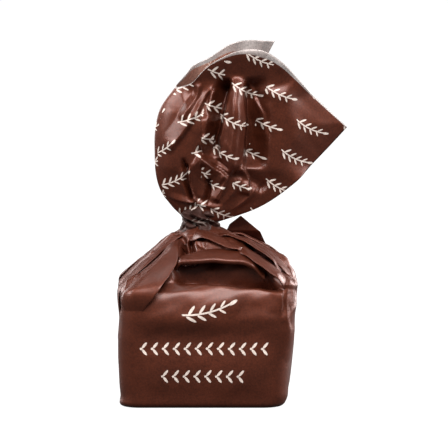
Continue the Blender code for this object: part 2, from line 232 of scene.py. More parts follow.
class NodeMaker:
    # Short calls for the nodes used here: each returns the output socket
    def __init__(self, tree):
        self.tree = tree

    def put(self, socket, value):
        if isinstance(value, bpy.types.NodeSocket):
            self.tree.links.new(value, socket)
        elif value is not None:
            socket.default_value = value

    def math(self, operation, first, second=None, third=None):
        node = self.tree.nodes.new("ShaderNodeMath")
        node.operation = operation
        for socket, value in zip(node.inputs, (first, second, third)):
            self.put(socket, value)
        return node.outputs[0]

    def vector(self, operation, first, second=None, output="Vector", scale=None):
        node = self.tree.nodes.new("ShaderNodeVectorMath")
        node.operation = operation
        self.put(node.inputs[0], first)
        self.put(node.inputs[1], second)
        if scale is not None:
            self.put(node.inputs["Scale"], scale)
        return node.outputs[output]

    def place(self, vector, location, turn, scale):
        node = self.tree.nodes.new("ShaderNodeMapping")
        node.vector_type = "TEXTURE"
        self.put(node.inputs["Vector"], vector)
        node.inputs["Location"].default_value = location
        node.inputs["Rotation"].default_value = (0.0, 0.0, math.radians(turn))
        node.inputs["Scale"].default_value = scale
        return node.outputs[0]

    def split(self, vector):
        node = self.tree.nodes.new("ShaderNodeSeparateXYZ")
        self.put(node.inputs[0], vector)
        return node.outputs[0], node.outputs[1], node.outputs[2]

    def join(self, x, y, z=0.0):
        node = self.tree.nodes.new("ShaderNodeCombineXYZ")
        for socket, value in zip(node.inputs, (x, y, z)):
            self.put(socket, value)
        return node.outputs[0]

    def remap(self, value, low, high):
        node = self.tree.nodes.new("ShaderNodeMapRange")
        node.interpolation_type = "SMOOTHSTEP"
        for label, given in (("Value", value), ("From Min", low), ("From Max", high)):
            self.put(node.inputs[label], given)
        return node.outputs["Result"]

    def noise(self, vector, look):
        # look is the scale, the detail and the roughness of the noise
        node = self.tree.nodes.new("ShaderNodeTexNoise")
        self.put(node.inputs["Vector"], vector)
        for label, value in zip(("Scale", "Detail", "Roughness"), look):
            node.inputs[label].default_value = value
        return node.outputs["Fac"]

    def mix(self, factor, first, second):
        node = self.tree.nodes.new("ShaderNodeMix")
        node.data_type = "RGBA"
        self.put(node.inputs["Factor"], factor)
        self.put(node.inputs[6], first)
        self.put(node.inputs[7], second)
        return node.outputs[2]

    def group(self, group, **values):
        node = self.tree.nodes.new("ShaderNodeGroup")
        node.node_tree = group
        for label, value in values.items():
            self.put(node.inputs[label], value)
        return node


# A leafy sprig about 6 mm long: a curved stem with slanting leaves on both sides
sprigShape = {"halfLength": 2.7, "bow": 0.055, "drop": -0.15, "stem": 0.10, "pairs": 4, "gap": 1.15,
              "leafLong": 0.62, "leafWide": 0.165, "slant": 44.0, "leafOut": 0.52, "stagger": 0.12,
              "shrink": 0.09, "tipPlace": (2.95, 0.30, 0.0), "tipTurn": 20.0, "tipSize": (0.5, 0.2, 1.0)}
printEdge = {"outside": 1.12, "inside": 0.88}  # how softly every leaf ends


def makeSprigGroup():
    group, given, result = newGroup("sprigMark", [("Place", "Vector", None)], [("Mask", "Float")])
    make = NodeMaker(group)
    place = given.outputs["Place"]
    x, y, _ = make.split(place)
    curve = make.math("MULTIPLY_ADD", make.math("MULTIPLY", x, x), sprigShape["bow"], sprigShape["drop"])
    fromCurve = make.math("ABSOLUTE", make.math("SUBTRACT", y, curve))
    offStem = make.math("DIVIDE", fromCurve, sprigShape["stem"])
    pastEnd = make.math("DIVIDE", make.math("ABSOLUTE", x), sprigShape["halfLength"])
    nearest = make.math("MAXIMUM", offStem, make.math("POWER", pastEnd, 8.0))
    for pair in range(sprigShape["pairs"]):
        centre = (pair - (sprigShape["pairs"] - 1) / 2.0) * sprigShape["gap"]
        for side in (-1.0, 1.0):
            size = 1.0 - sprigShape["shrink"] * pair
            leafX = centre + sprigShape["stagger"] * side
            leafOut = side * sprigShape["leafOut"] * size
            leafY = sprigShape["bow"] * leafX ** 2 + sprigShape["drop"] + leafOut
            scale = (sprigShape["leafLong"] * size, sprigShape["leafWide"] * size, 1.0)
            turned = make.place(place, (leafX, leafY, 0.0), side * sprigShape["slant"], scale)
            nearest = make.math("MINIMUM", nearest, make.vector("LENGTH", turned, output="Value"))
    tip = make.place(place, sprigShape["tipPlace"], sprigShape["tipTurn"], sprigShape["tipSize"])
    nearest = make.math("MINIMUM", nearest, make.vector("LENGTH", tip, output="Value"))
    make.put(result.inputs["Mask"], make.remap(nearest, printEdge["outside"], printEdge["inside"]))
    return group


# A band of slanting leaf pairs with dots between them
bandShape = {"step": 1.75, "leafLong": 0.62, "leafWide": 0.21, "leafAt": (0.1, 0.55), "slant": 52.0,
             "dot": 0.19, "dotAt": -0.42, "halfHeight": 1.6}


def makeBandGroup():
    group, given, result = newGroup(
        "leafBand",
        [("Place", "Vector", None), ("Middle", "Vector", None), ("Half Length", "Float", 5.0)],
        [("Mask", "Float")])
    make = NodeMaker(group)
    place = make.vector("SUBTRACT", given.outputs["Place"], given.outputs["Middle"])
    x, y, _ = make.split(place)
    cell = make.math("SUBTRACT", make.math("FRACT", make.math("DIVIDE", x, bandShape["step"])), 0.5)
    local = make.join(make.math("MULTIPLY", cell, bandShape["step"]), y)
    nearest = None
    for side in (-1.0, 1.0):
        scale = (bandShape["leafLong"], bandShape["leafWide"], 1.0)
        leafAt = (bandShape["leafAt"][0], side * bandShape["leafAt"][1], 0.0)
        leaf = make.place(local, leafAt, side * bandShape["slant"], scale)
        length = make.vector("LENGTH", leaf, output="Value")
        nearest = length if nearest is None else make.math("MINIMUM", nearest, length)
    dotSize = (bandShape["dot"], bandShape["dot"], 1.0)
    dot = make.place(local, (bandShape["dotAt"], 0.0, 0.0), 0.0, dotSize)
    nearest = make.math("MINIMUM", nearest, make.vector("LENGTH", dot, output="Value"))
    inside = make.math("LESS_THAN", make.math("ABSOLUTE", x), given.outputs["Half Length"])
    near = make.math("LESS_THAN", make.math("ABSOLUTE", y), bandShape["halfHeight"])
    leaves = make.remap(nearest, printEdge["outside"], printEdge["inside"])
    make.put(result.inputs["Mask"], make.math("MULTIPLY", leaves, make.math("MULTIPLY", inside, near)))
    return group


# The repeated print of the fan: sprigs in a half-drop repeat
repeatShape = {"across": 7.6, "up": 5.6, "scale": 1.02}


def makeRepeatGroup(sprig):
    group, given, result = newGroup("sprigRepeat", [("Place", "Vector", None)], [("Mask", "Float")])
    make = NodeMaker(group)
    x, y, _ = make.split(given.outputs["Place"])
    column = make.math("DIVIDE", x, repeatShape["across"])
    odd = make.math("FLOORED_MODULO", make.math("FLOOR", column), 2.0)
    row = make.math("MULTIPLY_ADD", odd, 0.5, make.math("DIVIDE", y, repeatShape["up"]))
    localX = make.math("MULTIPLY", make.math("SUBTRACT", make.math("FRACT", column), 0.5),
                       repeatShape["across"] / repeatShape["scale"])
    localY = make.math("MULTIPLY", make.math("SUBTRACT", make.math("FRACT", row), 0.5),
                       repeatShape["up"] / repeatShape["scale"])
    mark = make.group(sprig, Place=make.join(localX, localY))
    make.put(result.inputs["Mask"], mark.outputs["Mask"])
    return group


# Fine life of the film: cloudy colour, the grain of the print and small crinkles.
# Each noise is its scale, detail and roughness.
filmGrain = {"cloud": (230.0, 4.0, 0.6), "grain": (3200.0, 2.0, 0.8), "smear": (420.0, 3.0, 0.6),
             "wave": (380.0, 3.0, 0.45), "fine": (2200.0, 2.0, 0.5),
             "cloudDepth": 0.60, "grainDepth": 1.30, "grainGloss": 0.5, "fineHeight": 0.10}


def makeFilmSurfaceGroup():
    group, given, result = newGroup(
        "filmSurface",
        [("Crinkle", "Float", 1.0), ("Cloud", "Float", 1.0)],
        [("Tone", "Float"), ("Gloss", "Float"), ("Height", "Float")])
    make = NodeMaker(group)
    place = group.nodes.new("ShaderNodeTexCoord").outputs["Object"]
    cloud = make.math("SUBTRACT", make.noise(place, filmGrain["cloud"]), 0.5)
    grain = make.math("SUBTRACT", make.noise(place, filmGrain["grain"]), 0.5)
    coarse = make.math("MULTIPLY", grain, filmGrain["grainDepth"])
    tone = make.math("MULTIPLY_ADD", cloud, filmGrain["cloudDepth"], coarse)
    make.put(result.inputs["Tone"], make.math("MULTIPLY_ADD", tone, given.outputs["Cloud"], 1.0))
    smear = make.math("SUBTRACT", make.noise(place, filmGrain["smear"]), 0.5)
    make.put(result.inputs["Gloss"], make.math("MULTIPLY_ADD", grain, filmGrain["grainGloss"], smear))
    wave = make.noise(place, filmGrain["wave"])
    fine = make.noise(place, filmGrain["fine"])
    height = make.math("MULTIPLY_ADD", fine, filmGrain["fineHeight"], wave)
    make.put(result.inputs["Height"], make.math("MULTIPLY", height, given.outputs["Crinkle"]))
    return group


sprigGroup = makeSprigGroup()
bandGroup = makeBandGroup()
repeatGroup = makeRepeatGroup(sprigGroup)
surfaceGroup = makeFilmSurfaceGroup()

# Materials
filmLook = {
    "brown": (0.088, 0.0185, 0.0074, 1.0),
    # painted shade: the neck's film gets this darker brown because the neck lies in shadow
    "shadedNeckBrown": (0.030, 0.0100, 0.0068, 1.0),
    "print": (0.62, 0.52, 0.46, 1.0),
    "inside": (0.300, 0.150, 0.112, 1.0),
    "insidePrint": (0.44, 0.30, 0.25, 1.0),
    "clear": (0.42, 0.36, 0.34, 1.0),
    "crinkle": 1.0,
    "cloud": 1.0,
    "roughness": 0.50,
    "glossSpread": 0.16,
    "printRougher": 0.10,
    "insideSmoother": 0.04,
    "metallic": 0.62,
    "specular": 0.25,
    "coat": 0.45,
    "coatRoughness": 0.28,
    "clearAlpha": 0.76,
    "bump": 0.00006,
    "woundPrint": 0.18,
    "woundRoughness": 0.58,
    "woundCoat": 0.05,
}

# one large sprig and two rows of leaf pairs on the front, in mm on the flat film
bodyPrint = {"sprigPlace": (-0.3, 16.9, 0.0), "sprigTurn": 14.0, "sprigScale": 1.45,
             "wideRow": (-0.6, 10.6, 0.0), "wideHalf": 10.5,
             "narrowRow": (-0.7, 6.0, 0.0), "narrowHalf": 7.0}


def startMaterial(name):
    material = bpy.data.materials.new(name)
    material.use_nodes = True
    tree = material.node_tree
    return material, NodeMaker(tree), tree.nodes["Principled BSDF"]


def finishFilm(make, shader, colour, printMask, roughness):
    surface = make.group(surfaceGroup, Crinkle=filmLook["crinkle"], Cloud=filmLook["cloud"])
    make.put(shader.inputs["Base Color"], make.vector("SCALE", colour, scale=surface.outputs["Tone"]))
    gloss = make.math("MULTIPLY_ADD", surface.outputs["Gloss"], filmLook["glossSpread"], roughness)
    rough = make.math("MULTIPLY_ADD", printMask, filmLook["printRougher"], gloss)
    make.put(shader.inputs["Roughness"], rough)
    bump = make.tree.nodes.new("ShaderNodeBump")
    bump.inputs["Strength"].default_value = 1.0
    bump.inputs["Distance"].default_value = filmLook["bump"]
    make.put(bump.inputs["Height"], surface.outputs["Height"])
    make.put(shader.inputs["Normal"], bump.outputs["Normal"])
    metal = make.math("MULTIPLY_ADD", printMask, -filmLook["metallic"], filmLook["metallic"])
    make.put(shader.inputs["Metallic"], metal)
    shader.inputs["Specular IOR Level"].default_value = filmLook["specular"]
    shader.inputs["Coat Weight"].default_value = filmLook["coat"]
    shader.inputs["Coat Roughness"].default_value = filmLook["coatRoughness"]


def uvPlace(make):
    node = make.tree.nodes.new("ShaderNodeUVMap")
    node.uv_map = "film"
    return node.outputs[0]


def makeBodyFilm():
    material, make, shader = startMaterial("bodyFilm")
    place = uvPlace(make)
    scale = bodyPrint["sprigScale"]
    local = make.place(place, bodyPrint["sprigPlace"], bodyPrint["sprigTurn"], (scale, scale, 1.0))
    mask = make.group(sprigGroup, Place=local).outputs["Mask"]
    for middle, half in (("wideRow", "wideHalf"), ("narrowRow", "narrowHalf")):
        band = make.group(bandGroup, Place=place, Middle=bodyPrint[middle])
        band.inputs["Half Length"].default_value = bodyPrint[half]
        mask = make.math("MAXIMUM", mask, band.outputs["Mask"])
    colour = make.mix(mask, filmLook["brown"], filmLook["print"])
    finishFilm(make, shader, colour, mask, filmLook["roughness"])
    return material


def makeNeckFilm():
    material, make, shader = startMaterial("neckFilm")
    mask = make.group(repeatGroup, Place=uvPlace(make)).outputs["Mask"]
    faint = make.math("MULTIPLY", mask, filmLook["woundPrint"])
    # painted shade: the darker brown stands in for the shadow over the neck, and the print shows on it only
    # faintly
    colour = make.mix(faint, filmLook["shadedNeckBrown"], filmLook["print"])
    finishFilm(make, shader, colour, faint, filmLook["woundRoughness"])
    shader.inputs["Coat Weight"].default_value = filmLook["woundCoat"]
    return material


def makeFanFilm(name, filmColour, printColour, roughness):
    # printed film with a clear margin along the sheet's top edge
    material, make, shader = startMaterial(name)
    mask = make.group(repeatGroup, Place=uvPlace(make)).outputs["Mask"]
    edge = make.tree.nodes.new("ShaderNodeAttribute")
    edge.attribute_name = "margin"
    clear = make.math("GREATER_THAN", edge.outputs["Fac"], 0.5)
    printed = make.math("MULTIPLY", mask, make.math("SUBTRACT", 1.0, clear))
    colour = make.mix(printed, filmColour, printColour)
    colour = make.mix(clear, colour, filmLook["clear"])
    finishFilm(make, shader, colour, printed, roughness)
    make.put(shader.inputs["Alpha"], make.math("MULTIPLY_ADD", clear, filmLook["clearAlpha"] - 1.0, 1.0))
    return material


bodyFilm = makeBodyFilm()
fanFilm = makeFanFilm("fanFilm", filmLook["brown"], filmLook["print"], filmLook["roughness"])
shadedNeckFilm = makeNeckFilm()
insideFilm = makeFanFilm("insideFilm", filmLook["inside"], filmLook["insidePrint"],
                         filmLook["roughness"] - filmLook["insideSmoother"])
print("film materials made")

# The film over the block, up to the neck
block = {
    "base": {"left": -14.1, "right": 13.3, "front": -13.6, "back": 13.6},
    "brow": {"left": -14.4, "right": 15.1, "front": -14.0, "back": 14.0},
    "browHeight": 19.4, "cornerRadius": 2.9, "cornerShare": 0.16, "baseRound": 0.9, "widenCurve": 0.6,
    "neckX": -0.6, "neckRadius": 2.6, "neckLow": 29.4, "neckTwist": 70.0, "climbPower": 1.2,
    # how the shoulder rises towards the neck, from the middle of the back over the left side
    "shoulderCurves": (0.60, 1.0, 1.0, 1.0, 0.66, 0.60, 0.52, 0.56),
    "round": 440, "underRows": 30, "baseRows": 8, "sideRows": 60, "shoulderRows": 170,
    "underStart": 0.04, "ground": 0.02, "underLift": 0.40,
    # the heights between which the brow's edge is rounded off, and how often
    "softFrom": (14.5, 18.5), "softTo": (21.0, 24.0), "softPasses": 90,
    # how far fold lines wander in front and at the sides, and the heights where the side folds begin
    "frontWander": 0.10, "sideWander": 0.25, "sideShift": 0.4, "sideFoldsFrom": (12.5, 22.0),
    "crumple": 0.6, "slowWaves": 0.4, "slowOnBrow": 0.3, "leanRight": 0.32,
}

# kind, width (to the left, to the right), height, line (across and up in the front view), fade
shoulderFolds = [
    # creases of the left corner, fanning out from the neck
    ("ridge", (0.5, 1.6), 0.30, [(-15.0, 17.4), (-12.8, 19.6), (-9.4, 22.0), (-5.6, 25.2)]),
    ("ridge", (1.4, 0.4), 0.35, [(-13.8, 18.0), (-11.2, 21.6), (-7.6, 24.8), (-4.4, 27.8)]),
    ("ridge", 1.0, -0.5, [(-8.2, 23.8), (-4.6, 26.8)]),
    # two teardrop hollows under the neck, and the thin rib between them
    ("soft", 0.50, -2.0, [(-3.3, 22.9), (-3.5, 27.6)]),
    ("soft", 0.45, -1.9, [(-1.9, 22.9), (-2.2, 27.4)]),
    # the rounded brow, and the deep valley behind it
    ("soft", (1.5, 3.4), -1.15,
     [(-11.5, 19.4), (-4.0, 20.2), (0.0, 20.1), (6.0, 19.7), (13.8, 18.6)]),
    ("soft", (1.8, 0.75), -2.6,
     [(-6.0, 21.3), (-2.0, 21.4), (1.5, 21.1), (5.0, 20.7), (9.4, 19.9), (13.8, 18.6)]),
    ("soft", 0.45, -0.7, [(-1.8, 26.6), (2.4, 24.9), (6.8, 23.6)]),
    ("ridge", 0.9, -1.2, [(6.6, 25.9), (10.5, 24.0), (14.9, 21.2)]),
    ("ridge", (1.2, 0.5), 0.5, [(3.4, 28.8), (7.8, 27.6), (11.6, 26.0)]),
    # the dented corner at the right end of the brow
    ("ridge", (1.9, 0.4), -0.50, [(12.7, 20.4), (13.1, 17.6), (13.0, 13.2)], 0.45),
    ("ridge", (0.5, 1.2), 0.26, [(13.2, 20.8), (13.5, 17.0), (13.8, 8.0)], 0.5),
    ("ridge", (0.9, 0.5), 0.30, [(12.8, 19.4), (16.4, 18.6)]),
    # the front sinks in below the filling's edge and swells again
    ("soft", 1.9, 0.40, [(-13.5, 13.5), (0.0, 13.3), (6.0, 13.1)], 0.4),
    ("soft", (1.7, 3.0), -0.32, [(-13.0, 10.4), (0.0, 10.4), (14.0, 10.8)]),
    ("soft", 3.0, 0.2, [(-12.0, 4.0), (13.0, 4.6)]),
]

# the same for the other three sides, across and up on each side
sideFolds = [
    ("ridge", (0.5, 1.6), 0.4, [(-14.0, 13.6), (-7.6, 22.8), (-2.8, 28.4)]),
    ("soft", 1.0, -0.7, [(-10.5, 15.0), (-4.5, 23.8), (-1.6, 28.2)]),
    ("ridge", (1.2, 0.4), 0.5, [(-4.4, 13.0), (-1.8, 23.4), (-0.6, 28.2)]),
    ("ridge", 0.6, 0.3, [(-7.6, 14.0), (-3.4, 23.6), (-1.0, 28.2)]),
    ("soft", 1.1, -0.7, [(1.6, 14.0), (0.8, 24.0), (0.2, 28.2)]),
    ("ridge", (0.4, 1.3), 0.4, [(9.0, 13.4), (4.2, 23.6), (1.2, 28.2)]),
    ("soft", 0.9, -0.6, [(12.2, 15.0), (6.0, 24.2), (2.2, 28.2)]),
]

# the film's lap seam down the back, and the folds tucked under the base (x and y)
backSeam = ("ridge", (4.0, 0.12), 0.22, [(2.4, 0.5), (2.0, 12.0), (1.0, 24.0)])
underFolds = [
    ("ridge", (5.0, 0.12), 0.28, [(-13.0, -11.5), (-3.5, -1.2), (3.5, -1.2), (12.4, -11.5)]),
    ("ridge", (0.12, 5.0), 0.28, [(-13.0, 11.5), (-3.5, 1.0), (3.5, 1.0), (12.4, 11.5)]),
]


def roundedOutline(share, outline, radius):
    # from the middle of the back over the left side, the front and the right side
    turns = share % 1.0
    side = np.floor(turns * 4.0 + 0.5).astype(int) % 4
    part = (turns * 4.0 + 0.5) % 1.0
    corner = block["cornerShare"]
    centreX = (outline["left"] + outline["right"]) / 2.0
    centreY = (outline["front"] + outline["back"]) / 2.0
    halfX = (outline["right"] - outline["left"]) / 2.0
    halfY = (outline["back"] - outline["front"]) / 2.0
    straight = np.clip((part - corner) / (1.0 - 2.0 * corner), 0.0, 1.0)
    turnIn = np.clip(1.0 - part / corner, 0.0, 1.0)
    turnOut = np.clip((part - 1.0 + corner) / corner, 0.0, 1.0)
    angle = (turnOut - turnIn) * math.pi / 4.0
    half = np.where(side % 2 == 0, halfX, halfY)
    other = np.where(side % 2 == 0, halfY, halfX)
    along = (straight * 2.0 - 1.0) * (half - radius) + radius * np.sin(angle)
    out = other - radius + radius * np.cos(angle)
    x = np.select([side == 0, side == 1, side == 2], [-along, -out, along], out)
    y = np.select([side == 0, side == 1, side == 2], [out, -along, -out], along)
    return np.stack([centreX + x, centreY + y], axis=-1)


def outlineAt(height):
    share = min(max(height / block["browHeight"], 0.0), 1.0) ** block["widenCurve"]
    return {name: block["base"][name] + (block["brow"][name] - block["base"][name]) * share
            for name in block["base"]}


def blockRows():
    share = np.arange(block["round"]) / block["round"]
    rows = []
    flat = {name: value - math.copysign(block["baseRound"], value) for name, value in block["base"].items()}
    for step in range(block["underRows"]):
        part = block["underStart"] + (1.0 - block["underStart"]) * step / block["underRows"]
        ring = roundedOutline(share, {name: flat[name] * part for name in flat},
                              block["cornerRadius"] * part)
        rows.append(np.column_stack([ring, np.full(block["round"], block["ground"])]))
    for step in range(block["baseRows"]):
        turn = step / (block["baseRows"] - 1) * math.pi / 2.0
        inset = block["baseRound"] * (1.0 - math.sin(turn))
        height = block["baseRound"] * (1.0 - math.cos(turn))
        outline = outlineAt(height)
        shrunk = {name: outline[name] - math.copysign(inset, outline[name]) for name in outline}
        ring = roundedOutline(share, shrunk, block["cornerRadius"])
        rows.append(np.column_stack([ring, np.full(block["round"], max(height, block["ground"]))]))
    for step in range(1, block["sideRows"] + 1):
        height = block["baseRound"] + (block["browHeight"] - block["baseRound"]) * step / block["sideRows"]
        ring = roundedOutline(share, outlineAt(height), block["cornerRadius"])
        rows.append(np.column_stack([ring, np.full(block["round"], height)]))
    brow = roundedOutline(share, block["brow"], block["cornerRadius"])
    curve = np.interp(share, np.arange(9) / 8.0, block["shoulderCurves"] + block["shoulderCurves"][:1])
    for step in range(1, block["shoulderRows"] + 1):
        climb = (step / block["shoulderRows"]) ** block["climbPower"]
        turn = 2.0 * math.pi * share + math.pi / 2.0 + math.radians(block["neckTwist"]) * climb ** 3
        neck = np.column_stack([block["neckX"] + block["neckRadius"] * np.cos(turn),
                                block["neckRadius"] * np.sin(turn)])
        height = block["browHeight"] + (block["neckLow"] - block["browHeight"]) * climb ** curve
        rows.append(np.column_stack([brow + (neck - brow) * climb, height]))
    rows = np.array(rows)
    # the brow's edge is rounded off: rows near it settle between their neighbours
    heights = rows[..., 2:]
    near = smoothStep(*block["softFrom"], heights) * smoothStep(*block["softTo"][::-1], heights)
    for _ in range(block["softPasses"]):
        rows[1:-1] += 0.25 * near[1:-1] * (rows[:-2] - 2.0 * rows[1:-1] + rows[2:])
    return rows


def filmPlaceOnBlock(grid):
    # mm on the flat film: across from the middle of the front, and up
    rows, columns = grid.shape[:2]
    base = grid[block["underRows"] + block["baseRows"]]
    stepLength = np.linalg.norm(np.roll(base, -1, axis=0) - base, axis=1)
    across = np.concatenate([[0.0], np.cumsum(stepLength)])
    front = slice(columns // 4, 3 * columns // 4)
    frontMiddle = np.interp(0.0, base[front, 0], across[front])
    up = np.linalg.norm(np.diff(grid[:, columns // 2], axis=0), axis=1)
    heights = np.concatenate([[0.0], np.cumsum(up)])
    heights -= heights[block["underRows"]]
    return np.stack(np.broadcast_arrays((across - frontMiddle)[None, :], heights[:, None]), axis=-1)


def foldedBlock():
    grid = blockRows()
    normals = gridNormals(grid, True)
    filmPlace = filmPlaceOnBlock(grid)
    x, y, z = grid[..., 0], grid[..., 1], grid[..., 2]
    bearing = np.degrees(np.arctan2(x - block["neckX"], -y))
    free = smoothStep(0.5, 4.0, z)
    lift = np.zeros(z.shape)
    front = smoothStep(88.0, 66.0, np.abs(bearing)) * free
    view = wander(inFrontView(grid), block["frontWander"])
    for fold in shoulderFolds:
        lift += foldHeight(view, *fold) * front
    for quarter in (90.0, 180.0, 270.0):
        turn = math.radians(quarter)
        across = (x - block["neckX"]) * math.cos(turn) + y * math.sin(turn)
        across = across + block["sideShift"] * math.sin(quarter)
        swing = (bearing - quarter + 180.0) % 360.0 - 180.0
        facing = smoothStep(60.0, 42.0, np.abs(swing))
        places = wander(np.stack([across, z], axis=-1), block["sideWander"])
        for fold in sideFolds:
            lift += foldHeight(places, *fold) * facing * smoothStep(*block["sideFoldsFrom"], z)
        if quarter == 180.0:
            lift += foldHeight(places, *backSeam) * facing
    # crumpled facets on the shoulders and a little on the brow, and slow waves all over
    brow = front * smoothStep(19.5, 17.0, z) * smoothStep(14.5, 16.5, z)
    top = smoothStep(19.5, 23.5, z) + 0.3 * brow
    lift += facets(grid, 11, 130, 0.055, 0.12, (1.0, 1.0, 0.6)) * top * block["crumple"]
    slow = facets(grid, 12, 50, 0.010, 0.02)
    calm = block["slowWaves"] - block["slowOnBrow"] * front * smoothStep(11.0, 15.0, z)
    lift += (slow - slow.mean()) * free * calm
    folded = grid + normals * lift[..., None]
    folded[..., 0] += block["leanRight"] * smoothStep(0.3, 2.0, z) * smoothStep(27.0, 19.0, z)
    # tucked film under the base, and the base never below the ground
    under = np.zeros(z.shape)
    for fold in underFolds:
        under += foldHeight(grid[..., :2], *fold)
    rows = block["underRows"]
    tucked = under[:rows] * smoothStep(0.0, 0.5, 1.0 - z[:rows])
    folded[:rows, :, 2] = block["underLift"] - tucked
    folded[..., 2] = np.maximum(folded[..., 2], block["ground"])
    return folded, filmPlace


def addBlockFilm():
    grid, filmPlace = foldedBlock()
    piece = meshFromGrid("block_film", grid, True, [filmPlace], closeLow=True, closeHigh=True)
    piece.data.materials.append(bodyFilm)
    return piece


blockFilm = addBlockFilm()
print("film over the block made")

# Pleats of the shoulder that lie over the film, each with a rolled edge:
# root is where the pleat leaves the film and edge is its fold, as seen from that side; lift is
# how far the fold stands off in mm, and fade is the share over which an end sinks into the film
pleatShape = {"along": 80, "across": 22, "hemRadius": 0.10, "hemDepth": 1.0, "hemDrop": 0.25,
              "tuck": 0.35, "fade": 0.22, "fadeEnd": 0.14, "wander": 0.04, "crumple": 0.5,
              "castFrom": 60.0, "castNear": 52.0, "thickness": 0.05}

frontPleats = [
    {"name": "pleat_corner_left", "lift": 0.8, "bulge": 0.10, "fade": 0.34,
     "root": [(-11.9, 13.2), (-13.9, 16.4), (-12.0, 19.9), (-9.2, 22.4), (-6.9, 24.6), (-4.6, 28.0)],
     "edge": [(-11.1, 13.3), (-9.6, 15.7), (-7.4, 18.2), (-5.6, 20.6), (-4.3, 23.0), (-4.3, 27.4)]},
    {"name": "pleat_front_roll", "lift": 1.35, "bulge": 0.1, "hem": 0.5, "fade": 0.10,
     "root": [(-5.0, 23.6), (-2.6, 24.4), (0.0, 25.0), (2.8, 25.2), (5.3, 25.0), (7.6, 24.2),
              (10.2, 22.6)],
     "edge": [(-5.2, 22.2), (-2.6, 22.5), (0.0, 22.6), (2.8, 22.6), (5.3, 22.5), (7.6, 22.0),
              (10.2, 20.8)]},
    {"name": "pleat_front_strip", "lift": 0.9, "bulge": 0.25,
     "root": [(-2.6, 29.2), (0.6, 28.2), (3.2, 27.2), (5.6, 25.8), (7.8, 24.7)],
     "edge": [(-2.4, 27.0), (0.3, 26.3), (2.6, 25.4), (4.6, 24.7), (6.8, 24.3)]},
    {"name": "pleat_long_right", "lift": 1.5, "bulge": 0.10, "fadeEnd": 0.34,
     "root": [(4.4, 26.8), (7.6, 25.2), (10.4, 23.4), (13.2, 21.0), (14.9, 18.8)],
     "edge": [(4.6, 25.2), (7.8, 22.6), (10.3, 21.0), (12.4, 19.4), (13.9, 18.4)]},
    {"name": "pleat_top_right", "lift": 0.8, "bulge": 0.2,
     "root": [(1.6, 28.5), (4.4, 27.6), (7.2, 26.5), (10.0, 24.9), (13.2, 22.0)],
     "edge": [(1.7, 27.7), (4.3, 26.8), (7.0, 25.6), (9.8, 23.9), (13.0, 21.0)]},
]

sidePleats = [
    {"name": "pleat_a", "lift": 0.45, "fade": 0.40, "bulge": 0.2,
     "root": [(-10.7, 15.4), (-10.2, 18.8), (-8.0, 22.4), (-4.8, 25.8), (-2.4, 28.6)],
     "edge": [(-10.3, 15.2), (-8.2, 18.4), (-5.2, 21.8), (-2.9, 25.4), (-1.2, 28.2)]},
    {"name": "pleat_b", "lift": 0.5, "fade": 0.40, "bulge": 0.25,
     "root": [(1.4, 13.0), (2.0, 18.8), (1.5, 23.4), (0.8, 26.4), (0.4, 28.6)],
     "edge": [(1.0, 13.0), (-1.5, 19.2), (-1.3, 23.4), (-0.9, 26.4), (-0.6, 28.6)]},
    {"name": "pleat_c", "lift": 0.45, "fade": 0.40, "bulge": 0.2,
     "root": [(11.9, 12.8), (10.8, 19.0), (7.9, 23.4), (4.4, 26.4), (2.2, 28.8)],
     "edge": [(11.4, 12.7), (8.0, 18.8), (5.2, 22.8), (2.8, 26.0), (1.2, 28.4)]},
]


def smoothSurface():
    grid = blockRows()
    rows, columns = grid.shape[:2]
    row = np.arange(rows - 1)[:, None] * columns
    column = np.arange(columns)[None, :]
    after = (column + 1) % columns
    quads = np.stack([row + column, row + after, row + columns + after, row + columns + column], -1)
    return BVHTree.FromPolygons(grid.reshape(-1, 3).tolist(), quads.reshape(-1, 4).tolist())


def castOnto(surface, places, rightward, upward, inward):
    # where the places of a side view lie on the film, and the film's normal there
    hits = np.zeros(places.shape[:2] + (3,))
    outs = np.zeros(hits.shape)
    for i in range(places.shape[0]):
        for k in range(places.shape[1]):
            start = places[i, k, 0] * rightward + places[i, k, 1] * upward
            start = start - inward * pleatShape["castFrom"]
            place, normal, _, _ = surface.ray_cast(Vector(start.tolist()), Vector(inward.tolist()))
            if place is None:
                beside = start + inward * pleatShape["castNear"]
                place, normal, _, _ = surface.find_nearest(Vector(beside.tolist()))
            hits[i, k] = place
            outs[i, k] = normal
    return hits, outs


